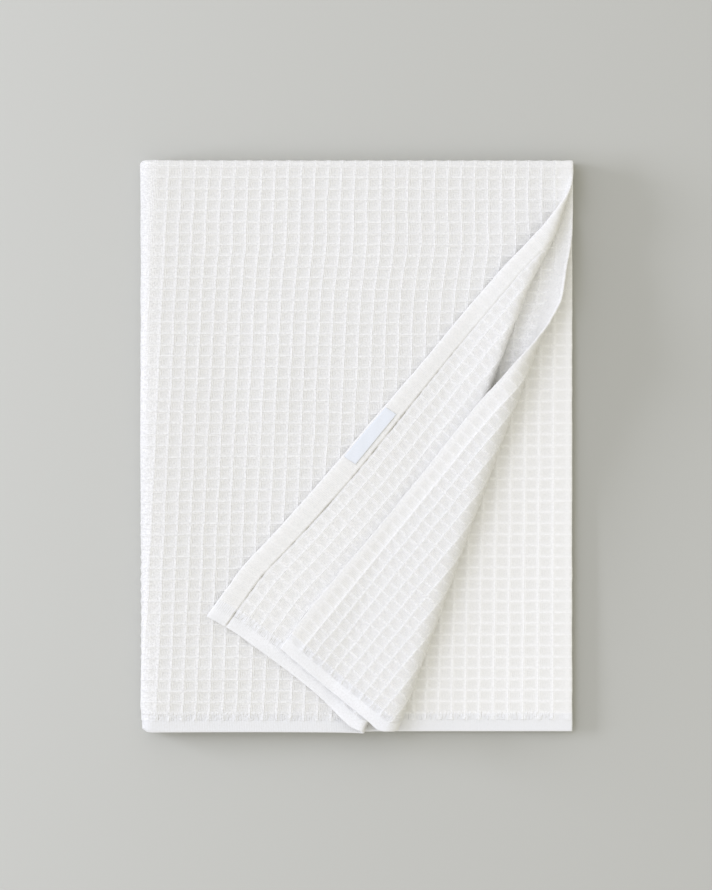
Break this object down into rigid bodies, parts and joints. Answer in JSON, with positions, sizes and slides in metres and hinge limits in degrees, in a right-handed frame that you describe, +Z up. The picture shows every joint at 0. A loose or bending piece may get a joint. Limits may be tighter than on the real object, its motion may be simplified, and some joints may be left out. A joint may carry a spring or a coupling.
{
  "type": "waffle weave cotton blanket",
  "caption": "Waffle weave cotton blanket with plain end bands, folded in four, with one corner of its upper layers turned back over the stack.",
  "frame": {"origin": "centre of the folded blanket's outline, on the surface that it rests on", "axes": "+X towards the side hems, +Y towards the end fold, +Z up through the layers"},
  "size_m": [0.3785, 0.5002, 0.0345],
  "materials": {
    "waffle_cotton": "matt off-white waffle weave cotton",
    "woven_label": "smooth pale woven tape, blank"
  },
  "bodies": {
    "root": {"blanket": "waffle_cotton", "label": "woven_label"}
  },
  "joints": []
}
